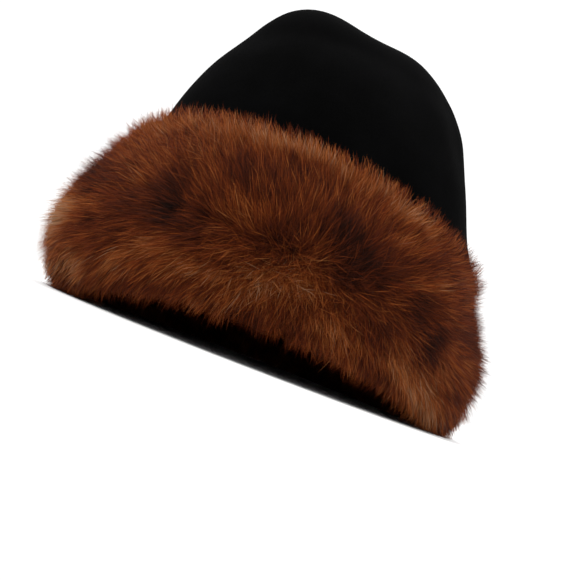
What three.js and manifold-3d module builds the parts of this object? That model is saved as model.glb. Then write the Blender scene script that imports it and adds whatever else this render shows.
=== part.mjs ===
// A tall black velour hat with a wide band of fur round its lower edge, standing on a table.
// Millimetres, +Z up. The front of the hat, where its edge is turned up, is towards -Y.
// The origin is on the table under the middle of the hat.
import * as THREE from 'three';
import { mergeVertices } from 'three/addons/utils/BufferGeometryUtils.js';
import Module from 'manifold-3d';

const wasm = await Module();
wasm.setup();

// Main sizes
const HEIGHT = 242; // table to the middle of the crown's top
const WALL = 2.5; // thickness of the blocked velour
const SLOT_GAP = 0.5; // room between the velour and the skin of the fur
const FUR_TOP = 94; // mean height of the fur's upper edge
const SLANT = { left: 11, front: 16 }; // how far that edge rises there, and falls on the far side
const CROWN_EDGE = 9; // height of the velour's lower edge, inside the fur
const TURNED_IN = 27; // how far up the inside the fur is turned
const OVAL = { across: 0.99, deep: 1.015 }; // heads are a little longer than wide
const LEAN = { x: -1, y: 2 }; // how far the top stands off the middle
const LIFT_ENDS = 230; // height where the turned-up front no longer shows
const TOP_SLOPE = { slope: 0.12, from: 185 }; // how the top falls to the right, above a height

// Fineness of the two bodies
const SIDES = 48;
const CROWN_STEPS = 15;
const THICK = 0.36; // thickness of a lock over its width
const SUNK = 3.2; // how deep the root of a lock is sunk in the pile
const SMALLEST = 0.2; // corners and edges smaller than this are merged

// Outer face of the crown, from the middle of its top down to its edge: radius r at height z
const CROWN_FACE = [
  { r: 0, z: HEIGHT },
  { r: 20, z: 241.4 },
  { r: 35, z: 239.2 },
  { r: 48.5, z: 234.2 },
  { r: 59.5, z: 226.5 },
  { r: 69, z: 215.5 },
  { r: 77, z: 204 },
  { r: 90, z: 186 },
  { r: 101, z: 167 },
  { r: 109.8, z: 148 },
  { r: 116.2, z: 127 },
  { r: 122.5, z: 104 },
  { r: 128.5, z: 78 },
  { r: 133, z: 50 },
  { r: 134.5, z: 28 },
  { r: 133.5, z: CROWN_EDGE },
];

// Face of the pile, from the fur's upper edge outwards, down and round to the inside
const PILE_FACE = [
  { r: 125.4, z: 100 },
  { r: 128.7, z: 99.2 },
  { r: 133, z: 93 },
  { r: 137.5, z: 84.5 },
  { r: 142.3, z: 74.3 },
  { r: 147.1, z: 63.2 },
  { r: 150.7, z: 51.5 },
  { r: 151.5, z: 39.1 },
  { r: 148.8, z: 26 },
  { r: 143.2, z: 13 },
  { r: 137.6, z: 4 },
  { r: 132, z: 0 },
  { r: 125.5, z: 3 },
  { r: 121, z: 11 },
  { r: 121.5, z: 22 },
  { r: 129, z: 29 },
];

// How far the lower edge is turned up at each turn from the front, right-hand side positive
const EDGE_LIFT = [
  { turn: -180, lift: 0 },
  { turn: -96, lift: 0 },
  { turn: -78, lift: 1.5 },
  { turn: -55, lift: 14 },
  { turn: -28, lift: 25.5 },
  { turn: 0, lift: 30 },
  { turn: 28, lift: 26 },
  { turn: 55, lift: 14.5 },
  { turn: 80, lift: 1.5 },
  { turn: 97, lift: 0 },
  { turn: 180, lift: 0 },
];

// Soft dents and swells of the velour: where, how wide and tall, and how deep (a swell is negative)
const DENTS = [
  { turn: -50, high: 200, wide: 17, tall: 15, deep: 2.6 },
  { turn: -12, high: 208, wide: 26, tall: 9, deep: 1.6 },
  { turn: 26, high: 186, wide: 9, tall: 26, deep: 2.2 },
  { turn: 58, high: 180, wide: 11, tall: 34, deep: 2.4 },
  { turn: 90, high: 208, wide: 34, tall: 20, deep: -4.0 },
  { turn: 98, high: 148, wide: 32, tall: 34, deep: 8.5 },
  { turn: 150, high: 176, wide: 20, tall: 24, deep: 2.6 },
  { turn: -148, high: 192, wide: 22, tall: 20, deep: 2.2 },
  { turn: -88, high: 140, wide: 36, tall: 26, deep: 1.6 },
  { turn: -72, high: 205, wide: 45, tall: 48, deep: -4.8 },
];

// Soft hollows pressed down into the crown's top: where, how wide and how deep
const DIPS = [
  { x: 2, y: -40, wide: 30, deep: 7.0 },
  { x: -20, y: 40, wide: 30, deep: 4.0 },
];

// Thick and thin places of the pile along the band
const SWELLS = [
  { waves: 1, start: 180, high: 60, tall: 50, deep: 5.0 },
  { waves: 2, start: 45, high: 98, tall: 40, deep: 3.0 },
  { waves: 3, start: 20, high: 70, tall: 26, deep: 1.3 },
  { waves: 5, start: 75, high: 40, tall: 26, deep: 1.2 },
  { waves: 8, start: 10, high: 95, tall: 26, deep: 1.0 },
  { waves: 13, start: 130, high: 60, tall: 26, deep: 0.8 },
];

// Rows of locks. along: place on the pile's face, 0 at the upper edge and 1 at the inner one.
// points: the direction of the tips, 0 down the face and 180 up it. fans: degrees to either side.
const LOCK_ROWS = [
  { along: 0.14, count: 22, long: 25, wide: 16, points: 180, fans: 28, proud: 3.4 },
  { along: 0.24, count: 19, long: 32, wide: 19, points: 90, fans: 82, proud: 3.2 },
  { along: 0.34, count: 19, long: 35, wide: 20, points: 0, fans: 76, proud: 3.4 },
  { along: 0.46, count: 20, long: 35, wide: 20, points: 0, fans: 68, proud: 3.6 },
  { along: 0.57, count: 20, long: 32, wide: 19, points: 0, fans: 55, proud: 3.6 },
  { along: 0.67, count: 20, long: 22, wide: 17, points: 0, fans: 30, proud: 2.6 },
  { along: 0.85, count: 16, long: 18, wide: 16, points: 180, fans: 20, proud: 1.8 },
];

const radians = THREE.MathUtils.degToRad;
const ease = (x) => THREE.MathUtils.smoothstep(x, 0, 1);
const asCurve = (rows) => new THREE.SplineCurve(rows.map(({ r, z }) => new THREE.Vector2(r, z)));

// A number between -1 and 1 that looks chosen at random, the same each time for the same i
const scatter = (i) => {
  const s = Math.sin(i * 127.1 + 11.7) * 43758.5453;
  return 2 * (s - Math.floor(s)) - 1;
};

// The turn from the front, in degrees, and the distance from the axis
const polar = (x, y) => ({ turn: THREE.MathUtils.radToDeg(Math.atan2(x, -y)), r: Math.hypot(x, y) });

const turnBetween = (a, b) => THREE.MathUtils.euclideanModulo(a - b + 180, 360) - 180;

const crownCurve = asCurve(CROWN_FACE);
const pileCurve = asCurve(PILE_FACE);
const pileLength = pileCurve.getLength();

// The point at u on a profile, moved off it by a distance along the normal on its left
function offCurve(curve, u, distance) {
  const at = curve.getPointAt(THREE.MathUtils.clamp(u, 0, 1));
  const along = curve.getTangentAt(THREE.MathUtils.clamp(u, 0.001, 0.999));
  return new THREE.Vector2(Math.max(at.x - along.y * distance, 0), at.y + along.x * distance);
}

// The place on the crown's profile that lies at a height
function atHeight(z) {
  let low = 0;
  let high = 1;
  for (let i = 0; i < 30; i += 1) {
    const middle = (low + high) / 2;
    if (crownCurve.getPointAt(middle).y > z) {
      low = middle;
    } else {
      high = middle;
    }
  }
  return (low + high) / 2;
}

// Radius of the crown's outer face at a height
const crownRadius = (z) => crownCurve.getPointAt(atHeight(z)).x;

// How far the edge is turned up at a turn, eased between the rows of the table
function edgeLift(turn) {
  const next = Math.max(1, EDGE_LIFT.findIndex((row) => row.turn >= turn));
  const [a, b] = [EDGE_LIFT[next - 1], EDGE_LIFT[next]];
  const slope = (i) => {
    const [before, after] = [EDGE_LIFT[Math.max(i - 1, 0)], EDGE_LIFT[Math.min(i + 1, EDGE_LIFT.length - 1)]];
    return (after.lift - before.lift) / (after.turn - before.turn);
  };
  const width = b.turn - a.turn;
  const t = (turn - a.turn) / width;
  const [t2, t3] = [t * t, t * t * t];
  const lift = (2 * t3 - 3 * t2 + 1) * a.lift + (3 * t2 - 2 * t3) * b.lift;
  const ends = (t3 - 2 * t2 + t) * slope(next - 1) + (t3 - t2) * slope(next);
  return Math.max(0, lift + ends * width);
}

// Depth of the dents at a place on the crown
function dentDepth(turn, z) {
  let depth = 0;
  for (const dent of DENTS) {
    const across = turnBetween(turn, dent.turn) / dent.wide;
    const up = (z - dent.high) / dent.tall;
    depth += dent.deep * Math.exp(-across * across - up * up);
  }
  return depth;
}

// How far the crown's top is lowered at a place, by its slope and its dips
function topFall(x, y, z) {
  let fall = TOP_SLOPE.slope * x;
  for (const dip of DIPS) {
    fall += dip.deep * Math.exp(-((x - dip.x) ** 2 + (y - dip.y) ** 2) / dip.wide ** 2);
  }
  return fall * ease((z - TOP_SLOPE.from) / (HEIGHT - TOP_SLOPE.from));
}

// Thickness that the pile gains or loses at a place on the band
function pileSwell(turn, z) {
  let swell = 0;
  for (const { waves, start, high, tall, deep } of SWELLS) {
    swell += deep * Math.sin(radians(waves * (turn + start))) * Math.cos((z - high) / tall);
  }
  return swell;
}

// Slides the fur along the crown, so that its upper edge slants and its distance from the velour stays
function slant(geometry) {
  const at = geometry.getAttribute('position');
  for (let i = 0; i < at.count; i += 1) {
    const [x, y, z] = [at.getX(i), at.getY(i), at.getZ(i)];
    const { turn, r } = polar(x, y);
    const rise = SLANT.front * Math.cos(radians(turn)) - SLANT.left * Math.sin(radians(turn));
    const high = z + rise * ease((z - TURNED_IN) / (FUR_TOP - TURNED_IN));
    const ratio = (r + crownRadius(high) - crownRadius(z)) / r;
    at.setXYZ(i, x * ratio, y * ratio, high);
  }
  return geometry;
}

// Gives a round, level form the hat's soft and uneven shape
function settle(geometry) {
  const at = geometry.getAttribute('position');
  for (let i = 0; i < at.count; i += 1) {
    const [x, y, z] = [at.getX(i), at.getY(i), at.getZ(i)];
    const { turn, r } = polar(x, y);
    const above = ease((z - FUR_TOP - SLANT.front) / 12) * ease(r / 50);
    const deepInPile = THREE.MathUtils.clamp((r - crownRadius(Math.min(z, FUR_TOP))) / 10, 0, 1);
    const pile = deepInPile * ease(z / 12) * ease((FUR_TOP + 8 - z) / 14);
    const grown = r - dentDepth(turn, z) * above + pileSwell(turn, z) * pile;
    const ratio = r > 0.001 ? grown / r : 1;
    const lean = ease(z / HEIGHT) ** 1.2;
    const lifted = Math.max(0, 1 - z / LIFT_ENDS) ** 1.1 * ease(r / 60);
    at.setXYZ(
      i,
      x * ratio * OVAL.across + LEAN.x * lean,
      y * ratio * OVAL.deep + LEAN.y * lean,
      z + edgeLift(turn) * lifted - topFall(x, y, z),
    );
  }
  geometry.computeVertexNormals();
  return geometry;
}

// A closed ring or cup turned from a profile of radii and heights, with its shared corners merged
function turned(profile) {
  const geometry = new THREE.LatheGeometry(profile, SIDES).rotateX(Math.PI / 2);
  geometry.deleteAttribute('normal');
  geometry.deleteAttribute('uv');
  return mergeVertices(geometry, 1e-4);
}

// The crown: down its outer face, round the edge and up its inner face
function crownForm() {
  const steps = (count, distance) =>
    Array.from({ length: count + 1 }, (_, i) => offCurve(crownCurve, i / count, distance));
  const outer = steps(CROWN_STEPS, 0);
  const inner = steps(CROWN_STEPS, -WALL).reverse();
  inner[inner.length - 1].x = 0;
  return turned([...outer, ...inner].reverse());
}

// The fur's body: the face of the pile, then the slot that takes the velour's lower part
function furBody() {
  const pile = PILE_FACE.map(({ r, z }) => new THREE.Vector2(r, z));
  const steps = Array.from({ length: CROWN_STEPS + 1 }, (_, i) => i / CROWN_STEPS);
  const slot = (from, distance) =>
    [from, ...steps.filter((u) => u > from + 0.01)].map((u) => offCurve(crownCurve, u, distance));
  const inside = slot(atHeight(TURNED_IN), -WALL - SLOT_GAP);
  const outside = slot(atHeight(FUR_TOP), SLOT_GAP).reverse();
  for (const end of [inside[inside.length - 1], outside[0]]) {
    end.y -= SLOT_GAP;
  }
  const around = [...pile, ...inside, ...outside];
  return turned([...around, around[0]].reverse());
}

// The place over the pile at a turn, a place along its face and a height off it
function onPile(turn, along, off) {
  const { x: r, y: z } = offCurve(pileCurve, along, off);
  return new THREE.Vector3(r * Math.sin(radians(turn)), -r * Math.cos(radians(turn)), z);
}

// The side to which the fur lies: -1 to the left of the parting at the front, 1 to the right of it
const lies = (turn, along) => Math.tanh((turn + 30 - 90 * (along - 0.25)) / 14);

// One lock: a flat tapered cone laid on the pile, with its thick end sunk in and its tip free
function lockForm(row, index, turn) {
  const { long, wide, proud } = row;
  const along = row.along + 0.022 * scatter(index * 3 + 1);
  const heading = radians(row.points + (row.points > 90 ? -1 : 1) * row.fans * lies(turn, along)
    + 9 * scatter(index * 3 + 2));
  const radius = pileCurve.getPointAt(along).x;
  const reach = long * (1 + 0.18 * scatter(index * 3 + 3));
  const cone = new THREE.ConeGeometry(wide / 2, reach, 4, 2).translate(0, reach / 2, 0);
  cone.deleteAttribute('normal');
  cone.deleteAttribute('uv');
  const form = mergeVertices(cone, 1e-4);
  const at = form.getAttribute('position');
  for (let i = 0; i < at.count; i += 1) {
    const t = THREE.MathUtils.clamp(at.getY(i) / reach, 0, 1);
    const full = 1 + 0.9 * t;
    const across = at.getX(i) * full;
    const off = THICK * at.getZ(i) * full - SUNK + (SUNK + proud) * t ** 0.7;
    const forward = at.getY(i);
    const down = forward * Math.cos(heading) - across * Math.sin(heading);
    const round = forward * Math.sin(heading) + across * Math.cos(heading);
    const place = onPile(turn + THREE.MathUtils.radToDeg(round / radius), along + down / pileLength, off);
    at.setXYZ(i, place.x, place.y, Math.max(place.z, 0.2));
  }
  return form;
}

// A closed mesh as a solid, turned the right way round if its corners run backwards
function solid(geometry) {
  const make = (flip) => {
    const corners = Uint32Array.from(geometry.index.array);
    if (flip) {
      for (let i = 0; i < corners.length; i += 3) {
        [corners[i], corners[i + 1]] = [corners[i + 1], corners[i]];
      }
    }
    const vertProperties = Float32Array.from(geometry.getAttribute('position').array);
    return new wasm.Manifold(new wasm.Mesh({ numProp: 3, vertProperties, triVerts: corners }));
  };
  const made = make(false);
  return made.volume() > 0 ? made : make(true);
}

// The fur: its body and all its locks as one solid
function furForm() {
  let fur = solid(furBody());
  let index = 0;
  for (const row of LOCK_ROWS) {
    const locks = [];
    for (let i = 0; i < row.count; i += 1) {
      index += 1;
      const turn = -180 + (360 * (i + 0.5 + 0.28 * scatter(index * 7))) / row.count;
      locks.push(solid(lockForm(row, index, turn)));
    }
    fur = fur.add(wasm.Manifold.union(locks));
  }
  const [whole] = fur.simplify(SMALLEST).decompose().sort((a, b) => b.volume() - a.volume());
  const mesh = whole.getMesh();
  const geometry = new THREE.BufferGeometry();
  geometry.setAttribute('position', new THREE.BufferAttribute(Float32Array.from(mesh.vertProperties), 3));
  geometry.setIndex(new THREE.BufferAttribute(Uint32Array.from(mesh.triVerts), 1));
  return geometry;
}

const velour = new THREE.MeshStandardMaterial({ color: 0x0b0b0c, roughness: 0.95, metalness: 0 });
const furry = new THREE.MeshStandardMaterial({ color: 0x5b2a14, roughness: 0.85, metalness: 0 });

const crown = new THREE.Mesh(settle(crownForm()), velour);
crown.name = 'crown';

const furBrim = new THREE.Mesh(settle(slant(furForm())), furry);
furBrim.name = 'fur_brim';

const group = new THREE.Group();
group.add(crown, furBrim);

// Puts the lowest fur on the table and the middle of the hat over the origin
const box = new THREE.Box3().setFromObject(group);
const middle = box.getCenter(new THREE.Vector3());
group.position.set(-middle.x, -middle.y, -box.min.z);

export default group;
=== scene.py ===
# %% [markdown]
# # A tall velour hat with a fur brim
# The hat has a black velour crown, blocked over a form in one piece, and a wide band of
# reddish brown fur that is turned round its lower edge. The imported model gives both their
# place and size, as plain faceted solids. Here the velour gets its smooth face, and the fur
# gets a skin of the same form with three quarters of a million hairs on it.

import math

import bpy
import numpy as np
from mathutils import Matrix, Vector


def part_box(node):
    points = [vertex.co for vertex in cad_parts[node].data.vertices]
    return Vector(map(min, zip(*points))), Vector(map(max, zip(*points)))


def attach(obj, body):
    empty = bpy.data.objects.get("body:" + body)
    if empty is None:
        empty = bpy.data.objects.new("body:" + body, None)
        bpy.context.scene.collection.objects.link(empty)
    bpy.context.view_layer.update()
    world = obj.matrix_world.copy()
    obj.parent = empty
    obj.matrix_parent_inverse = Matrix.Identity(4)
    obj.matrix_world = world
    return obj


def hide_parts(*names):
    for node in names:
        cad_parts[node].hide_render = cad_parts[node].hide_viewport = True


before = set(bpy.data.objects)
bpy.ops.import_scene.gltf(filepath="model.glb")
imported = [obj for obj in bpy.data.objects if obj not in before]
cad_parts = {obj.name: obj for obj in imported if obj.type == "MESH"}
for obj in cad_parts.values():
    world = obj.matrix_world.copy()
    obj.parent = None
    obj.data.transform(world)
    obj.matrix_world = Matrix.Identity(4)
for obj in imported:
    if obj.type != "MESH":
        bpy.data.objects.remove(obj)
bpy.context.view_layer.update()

# %% [markdown]
# ## Sizes
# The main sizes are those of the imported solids, in millimetres, so the velour and the fur
# keep their form. A profile is a short table of radii and heights, as a hat maker would
# draw half of the hat on paper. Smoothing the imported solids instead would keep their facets'
# small errors, so the shapes are worked out again from the same few numbers.

# %% Sizes and profiles
MM = 0.001
HEIGHT = 242
WALL = 2.5
SLOT_GAP = 0.5
FUR_TOP = 94
SLANT = {"left": 11, "front": 16}
CROWN_EDGE = 9
TURNED_IN = 27
OVAL = {"across": 0.99, "deep": 1.015}
LEAN = {"x": -1, "y": 2, "power": 1.2}
LIFT = {"ends": 230, "power": 1.1, "from_axis": 60}
TOP_SLOPE = {"slope": 0.12, "from": 185}


def table(names, *rows):
    """A table's rows, each with the columns' names: table("r z", (0, 242)) has one row."""
    return [dict(zip(names.split(), row)) for row in rows]


CROWN_FACE = table(
    "r z",
    (0, HEIGHT),
    (20, 241.4),
    (35, 239.2),
    (48.5, 234.2),
    (59.5, 226.5),
    (69, 215.5),
    (77, 204),
    (90, 186),
    (101, 167),
    (109.8, 148),
    (116.2, 127),
    (122.5, 104),
    (128.5, 78),
    (133, 50),
    (134.5, 28),
    (133.5, CROWN_EDGE),
)

PILE_FACE = table(
    "r z",
    (125.4, 100),
    (128.7, 99.2),
    (133, 93),
    (137.5, 84.5),
    (142.3, 74.3),
    (147.1, 63.2),
    (150.7, 51.5),
    (151.5, 39.1),
    (148.8, 26),
    (143.2, 13),
    (137.6, 4),
    (132, 0),
    (125.5, 3),
    (121, 11),
    (121.5, 22),
    (129, 29),
)

# %% [markdown]
# A smooth profile runs through each table. It could be drawn by hand as a curve with
# handles, but a formula keeps to the table: between two rows, a cubic leaves the first row
# in the direction from its neighbour before to its neighbour after, and reaches the second
# row in the same way.

# %% Smooth profiles
PROFILE_SAMPLES = 2400
NEAR = 0.003


def cubic_weights(t):
    """At a share t of the way between two rows, how much each thing counts.

    In turn: the first row, the slope there, the second row, and the slope there.
    """
    return 2 * t**3 - 3 * t**2 + 1, t**3 - 2 * t**2 + t, 3 * t**2 - 2 * t**3, t**3 - t**2


class Profile:
    """A curve through a table's radii and heights, read by u, its share of the length."""

    def __init__(self, rows):
        knots = np.array([[row["r"], row["z"]] for row in rows], float)
        before = np.vstack([knots[:1], knots[:-1]])
        after = np.vstack([knots[1:], knots[-1:]])
        slope = (after - before) / 2
        t = np.linspace(0, len(knots) - 1, PROFILE_SAMPLES)
        i = np.minimum(t.astype(int), len(knots) - 2)
        w = cubic_weights((t - i)[:, None])
        self.points = w[0] * knots[i] + w[1] * slope[i] + w[2] * knots[i + 1] + w[3] * slope[i + 1]
        steps = np.linalg.norm(np.diff(self.points, axis=0), axis=1)
        self.run = np.concatenate([[0], np.cumsum(steps)])
        self.length = self.run[-1]
        self.run /= self.length

    def at(self, u, off=0.0):
        """Radius and height at u, moved by off along the outward normal."""
        u = np.clip(u, 0, 1)
        r, z = (np.interp(u, self.run, part) for part in self.points.T)
        way_r, way_z = self.way(u)
        return r - way_z * off, z + way_r * off

    def way(self, u):
        """The direction along the profile at u, as two parts of length 1 together."""
        u = np.clip(u, NEAR, 1 - NEAR)
        ends = [
            [np.interp(u + aside, self.run, part) for part in self.points.T]
            for aside in (-NEAR, NEAR)
        ]
        step = np.subtract(ends[1], ends[0])
        return step / np.maximum(np.hypot(*step), 1e-9)


crown_profile = Profile(CROWN_FACE)
pile_profile = Profile(PILE_FACE)
print("the crown's profile is", round(crown_profile.length), "mm long")
print("the pile's profile is", round(pile_profile.length), "mm long")

# %% [markdown]
# ## The settled shape
# A real hat is never a perfect turned form. Its front edge is turned up, the crown leans a
# little and has soft dents, and the pile is thicker in some places. One function gives all
# of these to any points, so the velour, the skin and each hair stay together. Sculpting
# would do for the velour alone, but the hairs would then have to be moved after it.
#
# A turn is in degrees from the front, with the right-hand side positive. A dent or a swell
# has the place of its middle, how wide and tall it is, and how deep: a negative dent bulges.

# %% The turned-up edge
EDGE_LIFT = table(
    "turn lift",
    (-180, 0),
    (-96, 0),
    (-78, 1.5),
    (-55, 14),
    (-28, 25.5),
    (0, 30),
    (28, 26),
    (55, 14.5),
    (80, 1.5),
    (97, 0),
    (180, 0),
)


def column(rows, name):
    """One column of a table as an array."""
    return np.array([row[name] for row in rows], float)


print("the front edge is turned up by", column(EDGE_LIFT, "lift").max(), "mm")

# %% Dents and swells
DENTS = table(
    "turn high wide tall deep",
    (-50, 200, 17, 15, 2.6),
    (-12, 208, 26, 9, 1.6),
    (26, 186, 9, 26, 2.2),
    (58, 180, 11, 34, 2.4),
    (90, 208, 34, 20, -4.0),
    (98, 148, 32, 34, 8.5),
    (150, 176, 20, 24, 2.6),
    (-148, 192, 22, 20, 2.2),
    (-88, 140, 36, 26, 1.6),
    (-72, 205, 45, 48, -4.8),
)

DIPS = table(
    "x y wide deep",
    (2, -40, 30, 7.0),
    (-20, 40, 30, 4.0),
)

SWELLS = table(
    "waves start high tall deep",
    (1, 180, 60, 50, 5.0),
    (2, 45, 98, 40, 3.0),
    (3, 20, 70, 26, 1.3),
    (5, 75, 40, 26, 1.2),
    (8, 10, 95, 26, 1.0),
    (13, 130, 60, 26, 0.8),
)
print(len(DENTS), "dents and", len(DIPS), "dips in the velour,", len(SWELLS), "swells in the pile")


# %% What each of them does at a place
def ease(x):
    """0 below 0, 1 above 1, and 3x^2 - 2x^3 between them."""
    x = np.clip(x, 0, 1)
    return x * x * (3 - 2 * x)


def turn_between(a, b):
    """The turn from b to a in degrees, between -180 and 180."""
    return (a - b + 180) % 360 - 180


def bell(turn, place, middle, size):
    """exp(-a^2 - b^2), where a and b are the distances from its middle over its two sizes."""
    a = turn_between(turn, middle[0]) / size[0]
    b = (place - middle[1]) / size[1]
    return np.exp(-(a**2) - b**2)


def edge_lift(turn):
    """How far the edge is turned up: a cubic between the table's rows, level at its ends."""
    turns, lifts = column(EDGE_LIFT, "turn"), column(EDGE_LIFT, "lift")
    last = len(turns) - 1
    rows = np.arange(len(turns))
    low, high = np.maximum(rows - 1, 0), np.minimum(rows + 1, last)
    slope = (lifts[high] - lifts[low]) / (turns[high] - turns[low])
    i = np.clip(np.searchsorted(turns, turn) - 1, 0, last - 1)
    width = turns[i + 1] - turns[i]
    w = cubic_weights((turn - turns[i]) / width)
    lift = w[0] * lifts[i] + w[2] * lifts[i + 1]
    ends = w[1] * slope[i] + w[3] * slope[i + 1]
    return np.maximum(lift + ends * width, 0)


def dent_depth(turn, z):
    """The sum of the dents, each its depth times a bell round its middle."""
    return sum(
        dent["deep"] * bell(turn, z, (dent["turn"], dent["high"]), (dent["wide"], dent["tall"]))
        for dent in DENTS
    )


def top_fall(x, y, z):
    """How far the crown's top is lowered: its slope times x, and the sum of its dips.

    Each dip is a bell exp(-d^2), d being the distance from its middle over its width. The
    fall fades in from the height where the slope starts up to the very top.
    """
    fall = TOP_SLOPE["slope"] * x
    for dip in DIPS:
        far = ((x - dip["x"]) ** 2 + (y - dip["y"]) ** 2) / dip["wide"] ** 2
        fall = fall + dip["deep"] * np.exp(-far)
    return fall * ease((z - TOP_SLOPE["from"]) / (HEIGHT - TOP_SLOPE["from"]))


def pile_swell(turn, z):
    """The sum of the swells: depth sin(waves (turn + start)) cos((z - high) / tall)."""
    return sum(
        swell["deep"]
        * np.sin(np.radians(swell["waves"] * (turn + swell["start"])))
        * np.cos((z - swell["high"]) / swell["tall"])
        for swell in SWELLS
    )


def crown_radius(z):
    """Radius of the crown's outer face at a height, read off its profile."""
    r, high = crown_profile.points.T
    return np.interp(-z, -high, r)


# %% Slanting and settling
def slant(points):
    """Slides points of the fur along the crown, so that the upper edge slants.

    The edge rises at the left and at the front, with the sine and cosine of the turn, and
    what lies below it less and less. A point keeps its distance from the velour.
    """
    x, y, z = np.moveaxis(np.asarray(points, float), -1, 0)
    turn, r = np.arctan2(x, -y), np.hypot(x, y)
    rise = SLANT["front"] * np.cos(turn) - SLANT["left"] * np.sin(turn)
    high = z + rise * ease((z - TURNED_IN) / (FUR_TOP - TURNED_IN))
    ratio = 1 + (crown_radius(high) - crown_radius(z)) / np.maximum(r, 1)
    return np.stack([x * ratio, y * ratio, high], -1)


DENT_FADE = {"over_fur": 12, "from_axis": 50}
PILE_FADE = {"depth": 10, "foot": 12, "over_top": 8, "top": 14}


def settle(points):
    """Gives points of the round, level hat, in millimetres, their place in the settled hat.

    The radius loses the dents above the fur and gains the swells in the pile, each fading
    out where it ends. The oval scales x and y, and the top leans over with the height. The
    turned-up edge raises the points, less and less up to where the lift ends, and the fall
    of the top lowers them.
    """
    x, y, z = np.moveaxis(np.asarray(points, float), -1, 0)
    turn, r = np.degrees(np.arctan2(x, -y)), np.hypot(x, y)
    above = ease((z - FUR_TOP - SLANT["front"]) / DENT_FADE["over_fur"])
    above = above * ease(r / DENT_FADE["from_axis"])
    in_pile = np.clip((r - crown_radius(np.minimum(z, FUR_TOP))) / PILE_FADE["depth"], 0, 1)
    pile = in_pile * ease(z / PILE_FADE["foot"])
    pile = pile * ease((FUR_TOP + PILE_FADE["over_top"] - z) / PILE_FADE["top"])
    grown = r - dent_depth(turn, z) * above + pile_swell(turn, z) * pile
    ratio = np.where(r > 0.001, grown / np.maximum(r, 0.001), 1)
    lean = ease(z / HEIGHT) ** LEAN["power"]
    lifted = np.maximum(1 - z / LIFT["ends"], 0) ** LIFT["power"] * ease(r / LIFT["from_axis"])
    return np.stack(
        [
            x * ratio * OVAL["across"] + LEAN["x"] * lean,
            y * ratio * OVAL["deep"] + LEAN["y"] * lean,
            z + edge_lift(turn) * lifted - top_fall(x, y, z),
        ],
        -1,
    )


def settle_fur(points):
    """Gives points of the round, level fur their place: slanted first, then settled."""
    return settle(slant(points))


def round_place(turn, r, z):
    """The point (r sin turn, -r cos turn, z) of the round hat, the turn from the front."""
    angle = np.radians(turn)
    return np.stack(np.broadcast_arrays(r * np.sin(angle), -r * np.cos(angle), z), -1)


front_and_back = round_place(np.array([0, 180]), PILE_FACE[0]["r"], PILE_FACE[0]["z"])
fur_edge = settle_fur(front_and_back)[:, 2].round(1)
print("the fur's upper edge is", fur_edge, "mm high at the front and at the back")


# %% [markdown]
# ## Meshes from grids
# Both the velour and the skin under the fur are profiles carried round the hat. Blender's
# Screw modifier could turn them too, but it makes round forms only, and these are settled.
# The grid's columns join up at the back, and a row that lies on the axis becomes a single
# point, so the shells are closed.

# %% A mesh from points and faces
offset_xy = np.zeros(2)
NO_TRIANGLES = np.zeros((0, 3), int)


def mesh_of(name, points, quads, triangles=NO_TRIANGLES):
    """A mesh object of these points, in millimetres, and faces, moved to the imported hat's place."""
    me = bpy.data.meshes.new(name)
    me.vertices.add(len(points))
    placed = points.copy()
    placed[:, :2] += offset_xy
    me.vertices.foreach_set("co", (placed * MM).astype(np.float32).ravel())
    me.loops.add(quads.size + triangles.size)
    corners = np.concatenate([quads.ravel(), triangles.ravel()])
    me.loops.foreach_set("vertex_index", corners.astype(np.int32))
    sizes = np.concatenate([np.full(len(quads), 4), np.full(len(triangles), 3)])
    me.polygons.add(len(sizes))
    starts = np.concatenate([[0], np.cumsum(sizes)[:-1]])
    me.polygons.foreach_set("loop_start", starts.astype(np.int32))
    me.update(calc_edges=True)
    me.shade_smooth()
    piece = bpy.data.objects.new(name, me)
    bpy.context.scene.collection.objects.link(piece)
    print(name, "has", len(points), "points and", int((sizes - 2).sum()), "triangles")
    return piece


# %% A shell from a grid of points
FINE_TURNS = 192


def shell(name, r, z, closed_ring):
    """A profile's radii and heights, carried round the hat and settled, as one closed mesh.

    Point (row, turn) of the grid is the row's radius and height at that turn. Each face joins
    a point, the one below it and their neighbours to the right. A closed ring's last row
    joins its first, and any other profile ends in a fan of triangles at each pole.
    """
    turns = np.linspace(-180, 180, FINE_TURNS, endpoint=False)
    poles = 0 if closed_ring else 1
    body = slice(poles, len(r) - poles)
    grid = round_place(turns[None, :], r[body, None], z[body, None])
    grid = settle_fur(grid) if closed_ring else settle(grid)
    rows = grid.shape[0]
    index = np.arange(rows * FINE_TURNS).reshape(rows, FINE_TURNS)
    below = np.roll(index, -1, axis=0) if closed_ring else index[1:]
    here = index if closed_ring else index[:-1]
    right = [np.roll(part, -1, axis=1) for part in (here, below)]
    quads = np.stack([here, below, right[1], right[0]], -1).reshape(-1, 4)
    points = grid.reshape(-1, 3)
    triangles = NO_TRIANGLES
    if not closed_ring:
        caps = settle(round_place(0.0, np.zeros(2), z[[0, -1]]))
        first, last = len(points), len(points) + 1
        points = np.vstack([points, caps])
        top, bottom = index[0], index[-1]
        triangles = np.vstack(
            [
                np.stack([np.full_like(top, first), top, np.roll(top, -1)], -1),
                np.stack([bottom, np.full_like(bottom, last), np.roll(bottom, -1)], -1),
            ]
        )
    return mesh_of(name, points, quads, triangles)


# %% [markdown]
# ## The velour crown
# The crown is one blocked piece of felt with a wall of 2.5 mm. It runs down inside the fur
# to the lower edge, and its inner face is the black that shows under the turned-up front.
# A Solidify modifier could give a single face its wall. Here the outer and inner faces are
# the same profile, one wall apart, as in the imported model. Three rows between them round
# the lower edge: each lies at a share of the wall and drops a little.

# %% The crown's profile
EDGE_ROUND = {"shares": np.array([0.25, 0.5, 0.75]), "drops": np.array([0.35, 0.5, 0.35])}

CROWN_RINGS = 90

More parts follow.
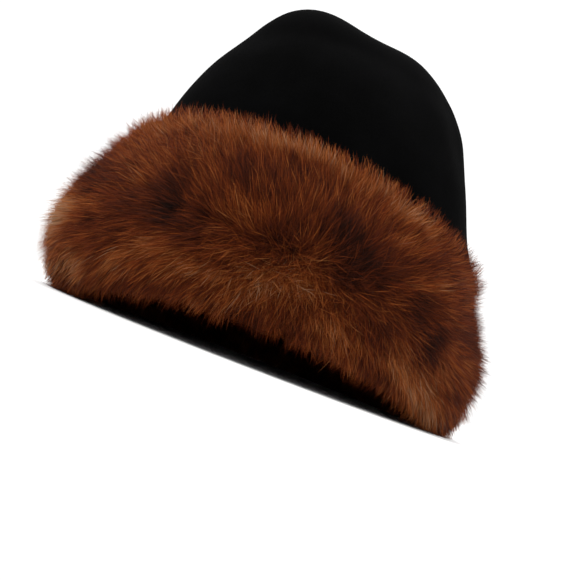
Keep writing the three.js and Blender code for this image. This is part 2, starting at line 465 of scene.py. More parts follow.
outer_u = np.linspace(0, 1, CROWN_RINGS)
outer_r, outer_z = crown_profile.at(outer_u)
inner_r, inner_z = crown_profile.at(outer_u[::-1], -WALL)
outer_r[0] = inner_r[-1] = 0
edge_r, edge_z = crown_profile.at(np.ones(3), -WALL * EDGE_ROUND["shares"])
edge_z = edge_z - EDGE_ROUND["drops"]
crown_r = np.concatenate([outer_r, edge_r, inner_r])
crown_z = np.concatenate([outer_z, edge_z, inner_z])
print("the crown's wall has", len(crown_r), "rings")

# %% [markdown]
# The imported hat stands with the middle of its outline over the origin, so it is a little off
# the drawn one. The widest ring of the crown shows by how much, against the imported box.

# %% Crown
every_half_degree = np.linspace(-180, 180, 721)
ring = settle(round_place(every_half_degree, outer_r[-1], outer_z[-1]))
low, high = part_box("crown")
offset_xy = np.array([(low[i] + high[i]) / 2 / MM for i in (0, 1)]) - (
    ring[:, :2].min(0) + ring[:, :2].max(0)
) / 2
print("the packed crown stands", offset_xy.round(2), "mm off the drawn one")
crown_velour = shell("crown_velour", crown_r, crown_z, closed_ring=False)

# %% [markdown]
# ## The skin of the fur
# Under the hairs lies the skin with its dense, short down. It is the pile's face drawn in by
# the depth of the pile, closed along the slot that holds the velour. It stops the eye
# between the hairs and gives them their roots. "along" is the share of the way along the
# pile's face, from its upper edge out, down and round to the inside.

# %% Depth of the pile
SKIN_RINGS = {"face": 72, "slot": 14}
PILE_DEPTH = table(
    "along depth",
    (0, 0.4),
    (0.05, 2.6),
    (0.15, 5),
    (0.42, 5.6),
    (0.55, 4.6),
    (0.64, 2.4),
    (0.72, 0.9),
    (0.76, 0.6),
    (0.82, 1.6),
    (0.89, 3),
    (1, 0.4),
)


def pile_depth(along):
    """How far the skin lies under the pile's face, straight between the table's rows."""
    return np.interp(along, column(PILE_DEPTH, "along"), column(PILE_DEPTH, "depth"))


def slot_face(z_top, off):
    """The crown's profile below a height, moved off it, as the face of the slot."""
    start = np.interp(-z_top, -crown_profile.points[:, 1], crown_profile.run)
    return crown_profile.at(np.linspace(start, 1, SKIN_RINGS["slot"]), off)


# %% Skin
skin_u = np.linspace(0, 1, SKIN_RINGS["face"])
skin_r, skin_z = pile_profile.at(skin_u, -pile_depth(skin_u))
inside_r, inside_z = slot_face(TURNED_IN, -WALL - SLOT_GAP)
outside_r, outside_z = slot_face(FUR_TOP, SLOT_GAP)
inside_z[-1] -= SLOT_GAP
outside_z[-1] -= SLOT_GAP
skin = shell(
    "fur_skin",
    np.concatenate([skin_r, inside_r, outside_r[::-1]]),
    np.concatenate([skin_z, inside_z, outside_z[::-1]]),
    closed_ring=True,
)

# %% [markdown]
# ## The lie of the fur
# Fur lies the way that the pelts were sewn, and this band has a whorl low in its front. From
# there the hairs run up to the left and over the upper edge, out to the left, out to the
# right, and down over the lower edge. Combing every hair by hand would take days, so a few
# guides hold a heading each: 0 is down the face, 90 to the right and 180 up. A root takes
# the mean of the guides round it, weighted by nearness. Where guides disagree the mean is
# short, and there the hairs stand up a little, as they do in the middle of a real whorl.

# %% Guides
GUIDES = table(
    "turn along heading",
    (-68, 0.24, -78),
    (-55, 0.34, -62),
    (-43, 0.25, -90),
    (-31, 0.29, -108),
    (-30, 0.17, -128),
    (-46, 0.43, -74),
    (-80, 0.46, -62),
    (-19, 0.27, -128),
    (-12, 0.15, -140),
    (-3, 0.32, -142),
    (5, 0.2, -158),
    (12, 0.32, -178),
    (18, 0.17, 168),
    (24, 0.29, 128),
    (20, 0.41, 84),
    (36, 0.2, 122),
    (36, 0.34, 78),
    (30, 0.46, 52),
    (51, 0.24, 98),
    (62, 0.43, 70),
    (85, 0.33, 80),
    (13, 0.54, 36),
    (3, 0.6, 4),
    (-8, 0.53, -56),
    (-24, 0.5, -78),
    (-40, 0.54, -60),
    (-20, 0.62, -18),
    (-48, 0.63, -22),
    (-75, 0.63, -12),
    (27, 0.63, 14),
    (50, 0.61, 30),
    (66, 0.63, 34),
    (120, 0.33, 66),
    (150, 0.39, 48),
    (175, 0.46, 4),
    (110, 0.63, 24),
    (170, 0.63, -4),
    (150, 0.24, 95),
    (120, 0.2, 110),
    (-110, 0.29, -82),
    (-140, 0.37, -60),
    (-170, 0.34, -30),
    (-110, 0.63, -26),
    (-140, 0.22, -95),
    (-90, 0.85, 170),
    (0, 0.85, 180),
    (90, 0.85, -170),
    (180, 0.85, 176),
)
GUIDE_REACH = {"turn": 17, "along": 0.095}
print(len(GUIDES), "guides hold the lie of the fur")

# %% [markdown]
# Along the upper edge the tips lean against the velour, up to the left, straight up or up to
# the right. In a few ruffled places, hairs stray out of their heading by chance. More guides
# could do both, but these two say it in fewer rows.

# %% Fringe and ruffled places
FRINGE = {"from": 0.14, "to": 0.05}
RUFFLED = table(
    "turn along wide tall stray",
    (5, 0.49, 15, 0.12, 52),
    (22, 0.37, 9, 0.07, 16),
    (-32, 0.15, 14, 0.07, 40),
    (42, 0.51, 14, 0.1, 30),
)
FRINGE_HEADINGS = table(
    "turn heading",
    (-180, -180),
    (-90, -150),
    (-30, -142),
    (0, -152),
    (30, -175),
    (60, -195),
    (120, -185),
    (180, -180),
)
print("the fringe turns up over the first", round(100 * FRINGE["from"]), "% of the face")

# %% [markdown]
# A root asks the guides, and near the upper edge the fringe takes over from them.

# %% The heading at a place
def heading(turn, along):
    """The heading's parts down the face and to the right, and how much the guides agree.

    Each part is the sum of the guides' cosines or sines, weighted by a bell round each
    guide, over the sum of the weights. Their agreement is the length of the mean.
    """
    down, right, weight = 0.0, 0.0, 1e-9
    reach = (GUIDE_REACH["turn"], GUIDE_REACH["along"])
    for guide in GUIDES:
        near = bell(turn, along, (guide["turn"], guide["along"]), reach)
        down = down + near * math.cos(math.radians(guide["heading"]))
        right = right + near * math.sin(math.radians(guide["heading"]))
        weight = weight + near
    fringe = ease((FRINGE["from"] - along) / (FRINGE["from"] - FRINGE["to"]))
    tips = np.interp(turn, column(FRINGE_HEADINGS, "turn"), column(FRINGE_HEADINGS, "heading"))
    down = down / weight * (1 - fringe) + fringe * np.cos(np.radians(tips))
    right = right / weight * (1 - fringe) + fringe * np.sin(np.radians(tips))
    size = np.maximum(np.hypot(down, right), 1e-9)
    return down / size, right / size, np.clip(size, 0, 1)


# %% [markdown]
# ## Tones of the fur
# Each hair has one tone, a number from 0 to 1 along a row of colours: nearly black, dark
# red brown, chestnut, warm brown, gold and a pale grey brown. Patches shift the tone of the
# hairs in them. Some are the darker backs and lighter sides of the pelts, and some are
# painted light: a pale sheen down the far left side, and top light on the tips along the
# upper edge. Chance does the rest. Drawing the patches on a picture would fix them to one
# size, and a short table of soft spots doesn't.

# %% Tones
TONES = [
    (0.0, (0.0055, 0.0018, 0.001)),
    (0.2, (0.02, 0.0041, 0.0013)),
    (0.42, (0.062, 0.01, 0.0021)),
    (0.6, (0.122, 0.024, 0.0042)),
    (0.78, (0.21, 0.059, 0.0135)),
    (0.9, (0.24, 0.09, 0.028)),
    (1.0, (0.235, 0.14, 0.085)),
]
PELT_AND_LIGHT_PATCHES = table(
    "turn along wide tall shift",
    # These five rows, and three more at along 0.13, paint top light on the tips along the upper edge.
    (-48, 0.09, 14, 0.05, 0.2),
    (-30, 0.13, 12, 0.05, 0.25),
    (-8, 0.09, 14, 0.04, 0.46),
    (24, 0.12, 14, 0.04, 0.34),
    (44, 0.16, 9, 0.05, 0.12),
    # These two rows paint a pale sheen down the far left side.
    (-84, 0.32, 10, 0.09, 0.4),
    (-61, 0.44, 7, 0.07, 0.5),
    (-64, 0.29, 7, 0.06, -0.14),
    (-50, 0.35, 7, 0.05, -0.16),
    (-28, 0.31, 11, 0.045, -0.1),
    (-25, 0.42, 11, 0.05, -0.24),
    (-8, 0.29, 11, 0.09, -0.06),
    # These two rows paint more of the pale sheen down the far left side.
    (-72, 0.43, 8, 0.09, 0.5),
    (-78, 0.59, 10, 0.06, 0.34),
    (-14, 0.59, 10, 0.05, 0.26),
    (0, 0.54, 8, 0.05, 0.26),
    (12, 0.4, 4.5, 0.07, -0.24),
    (21, 0.35, 6, 0.05, -0.12),
    (31, 0.4, 5, 0.07, -0.3),
    (40, 0.46, 5, 0.09, -0.38),
    (33, 0.53, 5, 0.05, 0.2),
    (54, 0.46, 6, 0.08, 0.02),
    (64, 0.37, 7, 0.1, -0.14),
    (44, 0.64, 14, 0.05, 0.26),
    (54, 0.69, 12, 0.05, 0.3),
    (15, 0.63, 12, 0.04, 0.18),
    (-55, 0.63, 20, 0.05, 0.32),
    (8, 0.43, 8, 0.05, 0.06),
    (-2, 0.2, 9, 0.05, 0.08),
    # These three rows paint the same top light on the tips along the upper edge at the back.
    (120, 0.13, 24, 0.06, 0.2),
    (175, 0.13, 22, 0.06, 0.2),
    (-120, 0.13, 24, 0.06, 0.18),
    (104, 0.37, 10, 0.1, -0.26),
    (88, 0.53, 9, 0.06, 0.2),
    (150, 0.32, 14, 0.07, -0.24),
    (-150, 0.39, 13, 0.08, -0.26),
    (-105, 0.34, 12, 0.07, -0.22),
)
MIDDLE_TONE = 0.39
DRIFTS = table("size waves seed", (0.07, 11, 5), (0.05, 26, 6))
print(len(PELT_AND_LIGHT_PATCHES), "patches shift the tone", MIDDLE_TONE)

# %% [markdown]
# Besides the patches the tone drifts slowly, by a few sines laid over each other. A noise
# texture would do the same, but then the hairs' tones couldn't be kept in their mesh.

# %% The tone at a place
SINES = 6


def soft_noise(turn, along, waves, seed):
    """A smooth field, nearly always between -1 and 1: the sum of six sines over 2.6.

    Each sine runs a whole number of times round the band, between half the given waves and
    all of them, and slantwise along it, both by chance.
    """
    rng = np.random.default_rng(seed)
    total = 0
    for _ in range(SINES):
        round_waves = rng.integers(max(1, waves // 2), waves + 1)
        along_waves = rng.uniform(-waves, waves) / 2.5
        start = rng.uniform(0, 2 * math.pi)
        total = total + np.sin(
            np.radians(turn) * round_waves + 2 * math.pi * along_waves * along + start
        )
    return total / 2.6


def patch_tone(turn, along):
    """The middle tone, the drifts, and each patch's shift times a bell round its middle."""
    tone = MIDDLE_TONE
    for drift in DRIFTS:
        tone = tone + drift["size"] * soft_noise(turn, along, drift["waves"], drift["seed"])
    for patch in PELT_AND_LIGHT_PATCHES:
        middle, size = (patch["turn"], patch["along"]), (patch["wide"], patch["tall"])
        tone = tone + patch["shift"] * bell(turn, along, middle, size)
    return tone


# %% [markdown]
# ## Tufts
# Hairs gather in tufts. Each root looks for the nearest tuft on a grid whose middles are
# shaken out of line, and its tip is drawn some of the way to the middle of that tuft. The
# small tufts, called knots here, make the spiky outline of fur, and the larger ones its
# soft hollows and ridges. Clumping by hand with a comb tool would be less even.

# %% Tufts
BAND_RADIUS = 140
SHAKE = (0.08, 0.92)


def nearest_tuft(turn, along, spacing, seed):
    """The middle of the tuft nearest each root, on a shaken grid, and the tuft's number.

    Nine cells of the grid lie round a root, and the middle whose squared distance, counted
    in cells, is the smallest is the nearest.
    """
    rng = np.random.default_rng(seed)
    across = int(2 * math.pi * BAND_RADIUS / spacing)
    down = int(pile_profile.length / spacing)
    shake = rng.uniform(*SHAKE, (across, down, 2))
    x, y = (turn + 180) / 360 * across, along * down
    best = np.full(turn.shape, 1e9)
    found = np.zeros((3, len(turn)))
    for step_x in (-1, 0, 1):
        for step_y in (-1, 0, 1):
            i = np.floor(x).astype(int) + step_x
            j = np.clip(np.floor(y).astype(int) + step_y, 0, down - 1)
            place = shake[i % across, j]
            at_x, at_y = i + place[:, 0], j + place[:, 1]
            gap = (at_x - x) ** 2 + (at_y - y) ** 2
            closer = gap < best
            best = np.where(closer, gap, best)
            number = (i % across) * down + j
            found = np.where(closer, [at_x / across * 360 - 180, at_y / down, number], found)
    return found[0], found[1], found[2].astype(int), across * down


def gather(turn, along, spacing, seed):
    """Each root's tuft: where it stands, and four chances that all its hairs share."""
    tuft_turn, tuft_along, number, count = nearest_tuft(turn, along, spacing, seed)
    chance = np.random.default_rng(seed + 10).uniform(-1, 1, (count, 4))
    return {"turn": tuft_turn, "along": tuft_along, "chance": chance[number]}


# %% [markdown]
# ## Kinds of hair
# Mink has three: a dense, short underfur, straight and glossy guard hairs over it, and a
# few long ones that stand out of the outline. Blender's own hair curves would be lost when
# the hat is exported, so a hair is a tapered ribbon of one triangle, or of three for the
# long ones that bend, and three quarters of a million of them stay light. Lengths and widths
# are in millimetres and angles in degrees. The lean is the angle to the face at the root and at the
# tip, uneven is how much it varies, and the stray is how far a hair turns out of the
# heading. A tip is drawn by the shares to_tuft and to_knot. Tone and spread shift a hair's
# tone, and at_edge is the share of its length that it keeps at the upper edge. A tuft also
# turns, leans and lengthens all its hairs a little, by chance.

# %% Kinds of hair
KINDS = {
    # The underfur's lower tone is painted shade, deep in the pile between the guard hairs.
    "under": {
        "count": 180000, "steps": 1, "long": 8.6, "short": 6.5, "width": 0.42, "lean": (54, 54),
        "uneven": 9, "stray": 34, "to_tuft": 0.12, "to_knot": 0.42, "tone": -0.06, "spread": 0.06,
        "at_edge": 0.36,
    },
    "guard": {
        "count": 110000, "steps": 1, "long": 13.2, "short": 8.5, "width": 0.28, "lean": (40, 40),
        "uneven": 9, "stray": 19, "to_tuft": 0.2, "to_knot": 0.6, "tone": 0.02, "spread": 0.18,
        "at_edge": 0.38,
    },
    "long": {
        "count": 30000, "steps": 2, "long": 18, "short": 8.5, "width": 0.33, "lean": (54, 38),
        "uneven": 11, "stray": 16, "to_tuft": 0.28, "to_knot": 0.58, "tone": 0.09, "spread": 0.15,
        "at_edge": 0.66,
    },
}
TUFT = {"spacing": 8.0, "seed": 21, "turns": 17, "aside": 4, "up": 0.02, "leans": 5, "longer": 0.1}
KNOT = {"spacing": 2.8, "seed": 22, "turns": 10}
print("a piece holds up to", max(kind["count"] for kind in KINDS.values()), "hairs")

# %% Roots
FACE_ENDS = (0.004, 0.985)
INSIDE = {"from": 0.74, "over": 0.1, "thinned": 0.35}


def spread_roots(count, span, rng):
    """Turns and places along the face, even over the band's area between two turns.

    The share of the hairs above a place is the sum of the radii above it. It is thinned out
    on the inside, where wearing presses the fur flat.
    """
    table_u = np.linspace(*FACE_ENDS, 400)
    table_r, _ = pile_profile.at(table_u)
    inside = ease((table_u - INSIDE["from"]) / INSIDE["over"])
    share = np.cumsum(table_r * (1 - INSIDE["thinned"] * inside))
    along = np.interp(rng.random(count), share / share[-1], table_u)
    turn = span[0] + (span[1] - span[0]) * rng.random(count)
    return turn_between(turn, 0), along


# %% [markdown]
# ## Laying and bending the hairs
# At each root stand three directions: down the face, to the right and out of it. The
# heading turns the first two, and the lean raises the hair out of the face. The middle
# line of a hair is the sum of its steps, and its lean changes evenly from root to tip. Tips
# are drawn towards their tuft and their knot, which gives fur its locks.

# %% The directions at the roots
def face_axes(turn, along):
    """Unit vectors down the pile's face, to the right and outwards, on the round hat.

    They are the way along the profile, the same place a quarter turn on, and the normal.
    """
    way_r, way_z = pile_profile.way(along)
    down = round_place(turn, way_r, way_z)
    right = round_place(turn + 90, np.ones(len(turn)), np.zeros(len(turn)))
    out = round_place(turn, -way_z, way_r)
    return down, right, out


def ruffle(turn, along):
    """How far hairs stray by chance in the ruffled places, in degrees: a sum of bells."""
    return sum(
        row["stray"] * bell(turn, along, (row["turn"], row["along"]), (row["wide"], row["tall"]))
        for row in RUFFLED
    )


def lay(turn, along, tuft, knot, k, rng):
    """The direction in the face in which each hair lies, and how much its guides agree.

    The guides are asked halfway between a root and its tuft, a little aside by the tuft's
    chance. The angle found is turned by the tuft's, the knot's and the hair's own chance,
    and the direction is down cos(angle) + right sin(angle).
    """
    asked_turn = (tuft["turn"] + turn) / 2 + TUFT["aside"] * tuft["chance"][:, 1]
    asked_along = (tuft["along"] + along) / 2 + TUFT["up"] * tuft["chance"][:, 2]
    down, right, agree = heading(asked_turn, asked_along)
    angle = np.arctan2(right, down) + np.radians(
        TUFT["turns"] * tuft["chance"][:, 0]
        + KNOT["turns"] * knot["chance"][:, 0]
        + (k["stray"] + ruffle(turn, along)) * rng.normal(size=len(turn))
    )
    face_down, face_right, face_out = face_axes(turn, along)
    lie = np.cos(angle)[:, None] * face_down + np.sin(angle)[:, None] * face_right
    return lie, face_out, agree


# %% [markdown]
# A hair's length changes smoothly from outside to inside, and from the upper edge down.
# Hair tools would take a painted map of lengths, and a formula needs none. A root stands
# just over the skin, so that no hair starts inside it.

# %% The middle lines
OVER_SKIN = 0.2
UNEVEN_LENGTH = 0.17
WHORL_LEAN = 8
PULL_POWER = 1.6


def skin_place(turn, along):
    """A point just over the skin of the round hat."""
    r, z = pile_profile.at(along, -pile_depth(along) + OVER_SKIN)
    return round_place(turn, r, z)


def hair_length(along, tuft, k, rng):
    """The length of each hair: from long outside to short inside, and less at the edge.

    At the upper edge it keeps the share at_edge. All is times 1 plus or minus what chance
    and the tuft give.
    """
    inner = ease((along - INSIDE["from"]) / INSIDE["over"])
    length = k["long"] + (k["short"] - k["long"]) * inner
    length = length * (k["at_edge"] + (1 - k["at_edge"]) * ease(along / FRINGE["from"]))
    by_chance = UNEVEN_LENGTH * rng.uniform(-1, 1, len(along))
    return length * (1 + by_chance + TUFT["longer"] * tuft["chance"][:, 1])


def middle_lines(turn, along, tuft, knot, k, rng):
    """Points along each hair on the round hat, from its root to its tip.

    Step i has the lean at its middle, and its direction is lie cos(lean) + out sin(lean).
    Tufts and knots pull the points aside with the power 1.6 of the way up. Where guides
    disagree, the hair leans out by up to 8 degrees more.
    """
    lie, face_out, agree = lay(turn, along, tuft, knot, k, rng)
    uneven = TUFT["leans"] * tuft["chance"][:, 2] + k["uneven"] * rng.normal(size=len(turn))
    uneven = uneven + WHORL_LEAN * (1 - agree)
    length = hair_length(along, tuft, k, rng) / k["steps"]
    root = skin_place(turn, along)
    points = [root]
    for i in range(k["steps"]):
        share = (i + 0.5) / k["steps"]
        lean = np.radians(k["lean"][0] + (k["lean"][1] - k["lean"][0]) * share + uneven)
        way = np.cos(lean)[:, None] * lie + np.sin(lean)[:, None] * face_out
        points.append(points[-1] + way * length[:, None])
    line = np.stack(points, 1)
    up = np.linspace(0, 1, k["steps"] + 1)[None, :, None]
    to_tuft = skin_place(tuft["turn"], tuft["along"]) - root
    to_knot = skin_place(knot["turn"], knot["along"]) - root
    pull = k["to_tuft"] * to_tuft + k["to_knot"] * to_knot
    return line + up**PULL_POWER * pull[:, None, :], face_out


# %% [markdown]
# Some tips would end inside the velour or under the table. Letting them cut through would
# show as clipped ends, so they are pushed out of the one and laid flat on the other.

# %% Clear of the velour and the table
CLEAR = {"of_velour": 0.5, "below_top": 6, "of_table": 0.25, "layers": 0.25}


def clear(line, rng):
    """Moves hairs out of the velour, settles them, and keeps them just over the table.

    A point near the upper edge that is nearer the axis than the velour and its room moves
    out to there. A point lower than 0.25 mm and a chance of 0.25 more is raised to that.
    """
    radius = np.hypot(line[..., 0], line[..., 1])
    room = crown_radius(np.clip(line[..., 2], CROWN_EDGE, HEIGHT)) + CLEAR["of_velour"]
    at_edge = line[..., 2] > FUR_TOP - CLEAR["below_top"]
    push = np.where(at_edge & (radius < room), room / radius, 1)
    line[..., :2] *= push[..., None]
    settled = settle_fur(line)
    lowest = CLEAR["of_table"] + CLEAR["layers"] * rng.random((len(line), 1))
    settled[..., 2] = np.maximum(settled[..., 2], lowest)
    return settled


# %% [markdown]
# ## Ribbons
# A ribbon is widest at its root and ends in a point. Each is twisted by chance about its
# own line, so some show their flat side and some their edge, as round hairs that catch
# the light in different places do.

# %% Ribbons
TAPER = {1: np.array([1.0]), 2: np.array([1.0, 0.85])}
TWIST = 70
UNEVEN_WIDTH = 0.25


def unit(v):
    """Vectors scaled to length 1."""
    return v / np.maximum(np.linalg.norm(v, axis=-1, keepdims=True), 1e-9)


def ribbons(settled, out, k, rng):
    """Corners and normals of tapered ribbons along the hairs' middle lines.

    A ribbon's corners lie at the middle line plus and minus half its width times the flat
    direction: side cos(twist) + facing sin(twist). A normal is the mean of the way out of
    the skin and the ribbon's own face, so that the fur is lit softly.
    """
    count, steps = len(settled), k["steps"]
    tangent = unit(np.gradient(settled, axis=1))
    side = unit(np.cross(tangent, out))
    facing = np.cross(side, tangent)
    twist = np.radians(rng.uniform(-TWIST, TWIST, count))[:, None, None]
    flat = side * np.cos(twist) + facing * np.sin(twist)
    width = k["width"] * (1 + UNEVEN_WIDTH * rng.uniform(-1, 1, count))
    half_width = (width[:, None] * TAPER[steps] / 2)[..., None]
    left = settled[:, :-1] - flat[:, :-1] * half_width
    right = settled[:, :-1] + flat[:, :-1] * half_width
    pairs = np.stack([left, right], 2).reshape(count, 2 * steps, 3)
    corners = np.concatenate([pairs, settled[:, -1:]], 1)
    normal = 0.5 * out + 0.5 * np.cross(flat, tangent)
    normals = np.concatenate([np.repeat(normal[:, :-1], 2, axis=1), normal[:, -1:]], 1)
    return corners, unit(normals)


def ribbon_triangles(count, steps):
    """The corner numbers of every ribbon's triangles.

    There are two for each step but the last, and the last ends in one with the point.
    """
    pattern = []
    for a in range(0, 2 * (steps - 1), 2):
        pattern += [(a, a + 1, a + 3), (a, a + 3, a + 2)]
    pattern.append((2 * steps - 2, 2 * steps - 1, 2 * steps))
    firsts = np.arange(count)[:, None, None] * (2 * steps + 1)
    return (firsts + np.array(pattern)).reshape(-1, 3)


# %% The tone of each hair
TONE_SHIFTS = {"tuft": 0.07, "knot": 0.14}
CHANCE_ENDS = (-2.4, 1.5)
TONE_ENDS = (0.02, 0.97)


def hair_tone(turn, along, tuft, knot, k, rng):
    """The sum of its place's tone, its kind's, its tuft's, its knot's, and spread x chance."""
    tone = patch_tone(turn, along) + k["tone"]
    tone = tone + TONE_SHIFTS["tuft"] * tuft["chance"][:, 3]
    tone = tone + TONE_SHIFTS["knot"] * knot["chance"][:, 3]
    chance = np.clip(rng.normal(size=len(turn)), *CHANCE_ENDS)
    return np.clip(tone + k["spread"] * chance, *TONE_ENDS)


# %% [markdown]
# ## Growing
# A piece of fur is one mesh of ribbons. Its UV map holds no place on a picture but two
# numbers for each corner: the hair's tone, and the way up from root to tip. The two sides
# of a ribbon differ a little in tone and the way up keeps off 0 and 1, so that each
# triangle covers some of the map.

# %% Growing
SIDE_TONES = 0.006


def grow(name, kind, seed, span):
    """One kind of hair on the band between two turns, as one mesh with tones.
    """
    k = KINDS[kind]
    rng = np.random.default_rng(seed)
    count = k["count"]
    turn, along = spread_roots(count, span, rng)
    tuft = gather(turn, along, TUFT["spacing"], TUFT["seed"])
    knot = gather(turn, along, KNOT["spacing"], KNOT["seed"])
    line, face_out = middle_lines(turn, along, tuft, knot, k, rng)
    root = line[:, 0].copy()
    out = unit(settle_fur(root + face_out) - settle_fur(root))[:, None, :]
    corners, normals = ribbons(clear(line, rng), out, k, rng)
    triangles = ribbon_triangles(count, k["steps"])
    piece = mesh_of(name, corners.reshape(-1, 3), np.zeros((0, 4), int), triangles)
    piece.data.normals_split_custom_set_from_vertices(normals.reshape(-1, 3))

    tone = hair_tone(turn, along, tuft, knot, k, rng)
    up = np.append(np.repeat(np.arange(k["steps"]) / k["steps"], 2), 1.0)
    aside = np.append(np.tile([-SIDE_TONES, SIDE_TONES], k["steps"]), 0.0)
    way_up = np.broadcast_to(0.03 + 0.94 * up, (count, len(up)))
    uv = np.stack([tone[:, None] + aside, way_up], -1).reshape(-1, 2)
    layer = piece.data.uv_layers.new(name="OFBake")
    layer.uv.foreach_set("vector", uv[triangles.ravel()].astype(np.float32).ravel())
    return piece


# %% [markdown]
# The underfur comes first. It fills the depth of the pile, and only its tips show.

# %% Underfur
underfur = [
    grow("underfur_front", "under", 111, (-90, 90)),
    grow("underfur_back", "under", 112, (90, 270)),
]

# %% [markdown]
# The guard hairs give the fur its colour and its gloss, and the long hairs its outline. Each
# kind is split round the band, so that no piece holds more than 200,000 triangles.

# %% Guard hairs and long hairs
guard_hairs = [
    grow("guard_hair_front", "guard", 101, (-60, 60)),
    grow("guard_hair_right", "guard", 102, (60, 180)),
    grow("guard_hair_left", "guard", 103, (180, 300)),
]
long_hairs = [
    grow("long_hair_front", "long", 121, (-90, 90)),
    grow("long_hair_back", "long", 122, (90, 270)),
]

# %% [markdown]
# ## Finishes
# Shader nodes can be laid out by hand in the editor, but a long sum is hard to read there.
# A small class lets it be written as a plain expression. It wraps a socket, and each sum
# on it adds a Math node. A second class holds a material and adds any other node.

# %% Shader maths
class Value:
    """A number in a material, worked out for each point of the surface."""

    def __init__(self, material, socket):
        self.material, self.socket = material, socket

    def _math(self, operation, *values):
        """A Math node for an operation on these values, and what comes out of it."""
        settings = {"operation": operation}
        made = self.material.node("ShaderNodeMath", settings, dict(enumerate(values)))
        return Value(self.material, made.outputs[0])

    def __add__(self, other):
        return self._math("ADD", self, other)

    def __mul__(self, other):
        return self._math("MULTIPLY", self, other)

    __radd__, __rmul__ = __add__, __mul__

    def clamp(self):
        """The value, but not under 0 or over 1."""
        return self._math("MAXIMUM", self._math("MINIMUM", self, 1.0), 0.0)


# %% A finish
class Finish:
    """A material that ends in one Principled surface."""

    def __init__(self, name):
        self.material = bpy.data.materials.new(name)
        self.material.use_nodes = True
        self.tree = self.material.node_tree
        self.surface = self.tree.nodes["Principled BSDF"]

    def node(self, kind, settings=None, inputs=None):
        """Adds a node, makes its settings, then gives its sockets values or links."""
        made = self.tree.nodes.new(kind)
        for name, value in (settings or {}).items():
            if name == "stops":
                ramp = made.color_ramp
                while len(ramp.elements) > 1:
                    ramp.elements.remove(ramp.elements[-1])
                for i, (stop, colour) in enumerate(value):
                    element = ramp.elements[0] if i == 0 else ramp.elements.new(stop)
                    element.position = stop
                    element.color = (*colour, 1.0)
            else:
                setattr(made, name, value)
        for name, value in (inputs or {}).items():
            self.feed(made.inputs[name], value)
        return made

    def feed(self, socket, value):
        """Links a value or a socket, or sets a plain number or colour."""
        if isinstance(value, Value):
            value = value.socket
        if isinstance(value, bpy.types.NodeSocket):
            self.tree.links.new(value, socket)
        else:
            socket.default_value = value

    def set(self, **inputs):
        """Gives sockets of the surface their values: Base_Color is the one called Base Color."""
        for name, value in inputs.items():
            self.feed(self.surface.inputs[name.replace("_", " ")], value)

    def noise(self, scale, detail, roughness):
        """A noise value over the object's own coordinates: scale 100 has waves of 1 cm."""
        place = self.node("ShaderNodeTexCoord").outputs["Object"]
        values = {"Vector": place, "Scale": scale, "Detail": detail, "Roughness": roughness}
        return Value(self, self.node("ShaderNodeTexNoise", {}, values).outputs[0])

    def ramp(self, value, stops):
        """The colour that a row of stops has at a value."""
        made = self.node("ShaderNodeValToRGB", {"stops": stops}, {"Fac": value})
        return made.outputs["Color"]

    def times(self, a, b):
        """One colour times another, by a Mix node, whose colours are its sockets 6 and 7."""
        settings = {"data_type": "RGBA", "blend_type": "MULTIPLY"}
        return self.node("ShaderNodeMix", settings, {0: 1.0, 6: a, 7: b}).outputs[2]

    def bump(self, height, strength, distance):
        """Makes the surface look raised by a value, up to a distance in metres."""
        values = {"Strength": strength, "Distance": distance, "Height": height}
        self.feed(self.surface.inputs["Normal"], self.node("ShaderNodeBump", {}, values).outputs[0])


# %% [markdown]
# ### Velour
# Velour is felt whose face is brushed to a short, dense nap. It swallows light, so it is
# almost black, and only where it curves away does the nap catch a faint soft sheen. Where
# a hand has brushed the nap another way it looks a little darker or lighter. A photograph
# of cloth could be laid on it, but three noises of different size show no repeat and no seam.

# %% Velour
VELOUR_BLACKS = [(0.34, (0.0006, 0.0006, 0.0006)), (0.68, (0.0017, 0.0017, 0.0018))]

velour = Finish("black_velour")
brushed = velour.noise(16, 3, 0.55)
nap = velour.noise(900, 3, 0.6)
fleck = velour.noise(2600, 2, 0.5)
velour_shade = (brushed * 0.75 + nap * 0.25).clamp()
velour.set(
    Base_Color=velour.ramp(velour_shade, VELOUR_BLACKS),
    Roughness=(0.78 + brushed * 0.16).clamp(),
    Specular_IOR_Level=0.005,
    Sheen_Weight=0.001,
    Sheen_Roughness=0.5,
)
velour.bump(nap * 0.7 + fleck * 0.3, 0.35, 0.0006)
crown_velour.data.materials.append(velour.material)
print(velour.material.name, "has", len(velour.tree.nodes), "nodes")

# %% [markdown]
# ### Fur
# A hair's colour follows two numbers kept in its UV map: its tone, and the way from root
# to tip. The row of tones gives the colour. The root lies in the shade of its neighbours
# and the tip is a little paler. Blender's hair shader is made for strands and can't be
# exported, so the plain surface is used here too.

# %% Fur
ROOT_TO_TIP = [
    (0.0, (0.13, 0.11, 0.1)),
    (0.4, (0.55, 0.52, 0.5)),
    (0.8, (1.08, 1.06, 1.04)),
    (1.0, (1.3, 1.26, 1.22)),
]

fur = Finish("mink_hair")
numbers = fur.node("ShaderNodeUVMap", {"uv_map": "OFBake"}).outputs[0]
parts = fur.node("ShaderNodeSeparateXYZ", {}, {0: numbers})
tone_colour = fur.ramp(parts.outputs[0], TONES)
root_shade = fur.ramp(parts.outputs[1], ROOT_TO_TIP)
fur.set(
    Base_Color=fur.times(tone_colour, root_shade),
    Roughness=0.5,
    Specular_IOR_Level=0.034,
)
for piece in underfur + guard_hairs + long_hairs:
    piece.data.materials.append(fur.material)
print(fur.material.name, "is on", fur.material.users, "pieces")

# %% [markdown]
# ### Skin
# The skin shows only as the shade between the hairs, so it is a dark red brown, mottled
# like the short down that covers it.

# %% Underlying skin
DOWN_BROWNS = [(0.35, (0.012, 0.004, 0.0024)), (0.66, (0.05, 0.015, 0.006))]

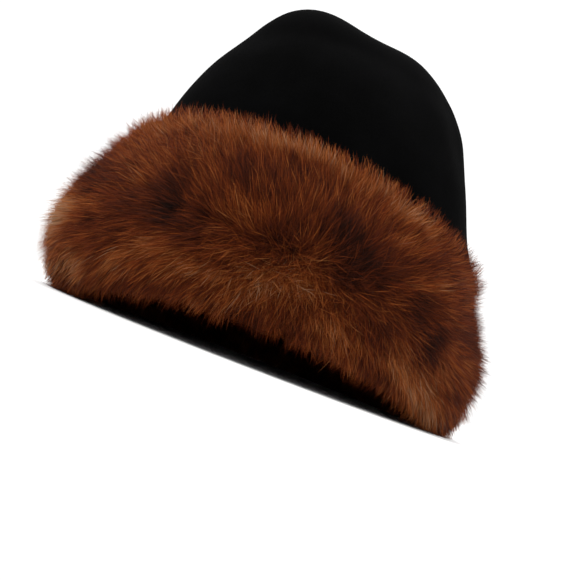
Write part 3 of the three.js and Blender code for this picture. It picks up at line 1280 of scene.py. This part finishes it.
down = Finish("down_on_skin")
mottle = down.noise(120, 4, 0.6)
fine = down.noise(700, 3, 0.6)
down.set(
    Base_Color=down.ramp((mottle * 0.6 + fine * 0.4).clamp(), DOWN_BROWNS),
    Roughness=(0.75 + fine * 0.2).clamp(),
    Specular_IOR_Level=0.2,
)
down.bump(mottle * 0.5 + fine * 0.5, 0.8, 0.0015)
skin.data.materials.append(down.material)
print(down.material.name, "has", len(down.tree.nodes), "nodes")

# %% [markdown]
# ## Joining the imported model
# The hat has no moving part, so each piece rides on its one body. The velour stands in for
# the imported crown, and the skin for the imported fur, whose locks the hairs now give.

# %% Pieces ride with the hat
for piece in [crown_velour, skin] + underfur + guard_hairs + long_hairs:
    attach(piece, "root")
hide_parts("crown")
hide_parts("fur_brim")
print(len(underfur + guard_hairs + long_hairs), "pieces of hair, one skin and one crown")

# %% [markdown]
# ## Table, light and camera
# The hat stands on a plain pale floor that runs out of sight, under large soft lights. The
# camera is low, looks slightly up and is turned about its own axis, so that the hat leans
# to the right and the black inside shows under its front edge.

# %% Floor
FAR = 60
corners = [(-FAR, -FAR, 0), (FAR, -FAR, 0), (FAR, FAR, 0), (-FAR, FAR, 0)]

floor_mesh = bpy.data.meshes.new("floor")
floor_mesh.from_pydata(corners, [], [(0, 1, 2, 3)])
floor = bpy.data.objects.new("floor", floor_mesh)
bpy.context.scene.collection.objects.link(floor)
paper = Finish("white_paper")
paper.set(Base_Color=(0.96, 0.96, 0.96, 1.0), Roughness=0.9, Specular_IOR_Level=0.1)
floor_mesh.materials.append(paper.material)

# %% [markdown]
# A bright world lights the hat from all round, as white walls do. Three soft lamps lift the
# left side, the right side and the top of the fur, so that it shows its depth.

# %% Light
WORLD_LIGHT = 1.1

world = bpy.data.worlds.new("studio")
bpy.context.scene.world = world
world.use_nodes = True
world.node_tree.nodes["Background"].inputs[0].default_value = (1.0, 1.0, 1.0, 1.0)
world.node_tree.nodes["Background"].inputs[1].default_value = WORLD_LIGHT

LIGHTS = table(
    "name at size power",
    ("key", (-0.9, -1.1, 1.3), 0.9, 26),
    ("right", (1.3, -0.5, 0.8), 0.8, 11),
    ("top", (0.1, 0.5, 1.6), 0.9, 12),
)
HAT_MIDDLE = Vector((0, 0, 0.12))


def look_at(obj, target, roll=0.0):
    """Points an object's -Z at a target, then turns it about that line."""
    facing = (target - obj.location).to_track_quat("-Z", "Y").to_matrix()
    obj.rotation_euler = (facing @ Matrix.Rotation(roll, 3, "Z")).to_euler()


for row in LIGHTS:
    lamp = bpy.data.lights.new(row["name"], "AREA")
    lamp.size, lamp.energy = row["size"], row["power"]
    light = bpy.data.objects.new(row["name"], lamp)
    light.location = row["at"]
    bpy.context.scene.collection.objects.link(light)
    look_at(light, HAT_MIDDLE)
print(len(LIGHTS), "lamps")

# %% [markdown]
# The camera stands 70 cm in front of the hat and 18 mm over the table. It was set by laying
# the picture over the photograph: the lens by the hat's size in it, the aim by its place,
# and the roll by how far the crown leans.

# %% Camera
CAMERA = {"at": (0.0128, -0.7, 0.018), "aim": (0.0128, 0, 0.0563), "roll": 21, "lens": 62.8}

camera = bpy.data.objects.new("camera", bpy.data.cameras.new("camera"))
camera.data.lens = CAMERA["lens"]
camera.data.clip_end = 200
camera.location = CAMERA["at"]
look_at(camera, Vector(CAMERA["aim"]), math.radians(CAMERA["roll"]))
bpy.context.scene.collection.objects.link(camera)
bpy.context.scene.camera = camera
bpy.context.scene.view_settings.view_transform = "Standard"
print("the camera's lens is", CAMERA["lens"], "mm")
